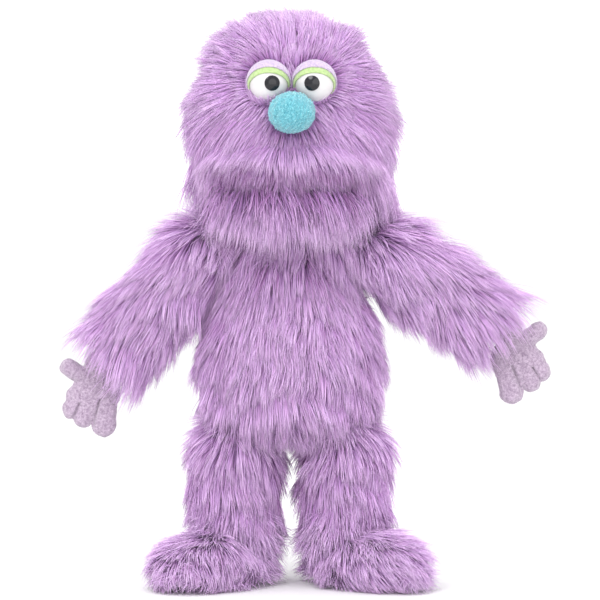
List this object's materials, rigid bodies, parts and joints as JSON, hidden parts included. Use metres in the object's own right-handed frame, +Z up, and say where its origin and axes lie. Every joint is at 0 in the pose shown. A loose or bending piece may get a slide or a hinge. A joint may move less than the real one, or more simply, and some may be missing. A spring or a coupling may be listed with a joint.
{
  "type": "moving mouth puppet",
  "caption": "Full-body hand puppet of a furry lilac monster with a hinged mouth, domed eyes, a round fleece nose, stuffed limbs and fleece hands.",
  "frame": {"origin": "middle of the whole puppet's bounding box, on the ground under its soles", "axes": "+Z up, the face and toes point along -Y, the puppet's own left is +X"},
  "size_m": [0.638, 0.2698, 0.74],
  "materials": {
    "fur": "matte",
    "lining": "matte",
    "mouth_felt": "matte",
    "mouth_board": "matte",
    "foam": "matte",
    "stuffing": "matte",
    "nose_fleece": "matte",
    "eyelid_green": "matte",
    "eyelid_lilac": "matte",
    "eye_white": "satin",
    "eye_black": "gloss",
    "tongue_felt": "matte",
    "elastic": "matte",
    "hand_fleece": "matte",
    "sole_felt": "matte"
  },
  "bodies": {
    "torso": {"torso_fur_cover": "fur", "torso_sleeve_lining": "lining"},
    "neck": {"neck_fur_cover": "fur"},
    "neck_lining": {"neck_sleeve_lining": "lining"},
    "head": {"head_fur_cover": "fur", "head_foam_form": "foam", "upper_mouth_plate": "mouth_board", "upper_mouth_lining": "mouth_felt", "finger_strap": "elastic", "nose_cover": "nose_fleece", "nose_foam_ball": "foam", "right_eyeball": "eye_white", "right_pupil": "eye_black", "right_eyelid_trim": "eyelid_green", "right_eyelid": "eyelid_lilac", "left_eyeball": "eye_white", "left_pupil": "eye_black", "left_eyelid_trim": "eyelid_green", "left_eyelid": "eyelid_lilac"},
    "jaw": {"jaw_fur_cover": "fur", "jaw_foam_form": "foam", "lower_mouth_plate": "mouth_board", "lower_mouth_lining": "mouth_felt", "tongue": "tongue_felt"},
    "right_shoulder": {"right_shoulder_stuffing": "stuffing"},
    "right_arm": {"right_arm_fur_cover": "fur", "right_arm_stuffing": "stuffing"},
    "right_hand": {"right_hand_palm": "hand_fleece", "right_hand_back": "hand_fleece", "right_hand_stuffing": "stuffing"},
    "right_leg": {"right_leg_fur_cover": "fur", "right_leg_stuffing": "stuffing"},
    "right_foot": {"right_foot_fur_cover": "fur", "right_foot_stuffing": "stuffing", "right_foot_sole": "sole_felt"},
    "left_shoulder": {"left_shoulder_stuffing": "stuffing"},
    "left_arm": {"left_arm_fur_cover": "fur", "left_arm_stuffing": "stuffing"},
    "left_hand": {"left_hand_palm": "hand_fleece", "left_hand_back": "hand_fleece", "left_hand_stuffing": "stuffing"},
    "left_leg": {"left_leg_fur_cover": "fur", "left_leg_stuffing": "stuffing"},
    "left_foot": {"left_foot_fur_cover": "fur", "left_foot_stuffing": "stuffing", "left_foot_sole": "sole_felt"}
  },
  "joints": [
    {"name": "head_turn", "type": "hinge", "parent": "torso", "child": "neck", "pos_m": [-0.01959, 0.04227, 0.462], "axis": [0, 0, 1], "range_deg": [-45, 45]},
    {"name": "head_tilt", "type": "hinge", "parent": "neck", "child": "neck_lining", "pos_m": [-0.01959, 0.04227, 0.462], "axis": [0, 1, 0], "range_deg": [-8, 8]},
    {"name": "head_nod", "type": "hinge", "parent": "neck_lining", "child": "head", "pos_m": [-0.01959, 0.04227, 0.462], "axis": [1, 0, 0], "range_deg": [-12, 9]},
    {"name": "jaw_open", "type": "hinge", "parent": "head", "child": "jaw", "pos_m": [-0.01959, 0.00627, 0.528], "axis": [1, 0, 0], "range_deg": [0, 32]},
    {"name": "right_arm_swing", "type": "hinge", "parent": "torso", "child": "right_shoulder", "pos_m": [-0.13359, 0.03427, 0.433], "axis": [1, 0, 0], "range_deg": [-70, 40]},
    {"name": "right_arm_lift", "type": "hinge", "parent": "right_shoulder", "child": "right_arm", "pos_m": [-0.13359, 0.03427, 0.433], "axis": [0, 1, 0], "range_deg": [-22, 62]},
    {"name": "right_wrist", "type": "hinge", "parent": "right_arm", "child": "right_hand", "pos_m": [-0.26999, 0.03427, 0.28673], "axis": [0, 1, 0], "range_deg": [-15, 43]},
    {"name": "right_hip", "type": "hinge", "parent": "torso", "child": "right_leg", "pos_m": [-0.09159, 0.03427, 0.172], "axis": [1, 0, 0], "range_deg": [-90, 30]},
    {"name": "right_ankle", "type": "hinge", "parent": "right_leg", "child": "right_foot", "pos_m": [-0.09159, 0.03427, 0.06], "axis": [-0.788, 0.6157, 0], "range_deg": [-20, 14]},
    {"name": "left_arm_swing", "type": "hinge", "parent": "torso", "child": "left_shoulder", "pos_m": [0.09441, 0.03427, 0.433], "axis": [1, 0, 0], "range_deg": [-70, 40]},
    {"name": "left_arm_lift", "type": "hinge", "parent": "left_shoulder", "child": "left_arm", "pos_m": [0.09441, 0.03427, 0.433], "axis": [0, -1, 0], "range_deg": [-38, 46]},
    {"name": "left_wrist", "type": "hinge", "parent": "left_arm", "child": "left_hand", "pos_m": [0.26585, 0.03427, 0.32999], "axis": [0, -1, 0], "range_deg": [-7, 51]},
    {"name": "left_hip", "type": "hinge", "parent": "torso", "child": "left_leg", "pos_m": [0.05241, 0.03427, 0.172], "axis": [1, 0, 0], "range_deg": [-90, 30]},
    {"name": "left_ankle", "type": "hinge", "parent": "left_leg", "child": "left_foot", "pos_m": [0.05241, 0.03427, 0.06], "axis": [-0.788, -0.6157, 0], "range_deg": [-20, 14]}
  ]
}
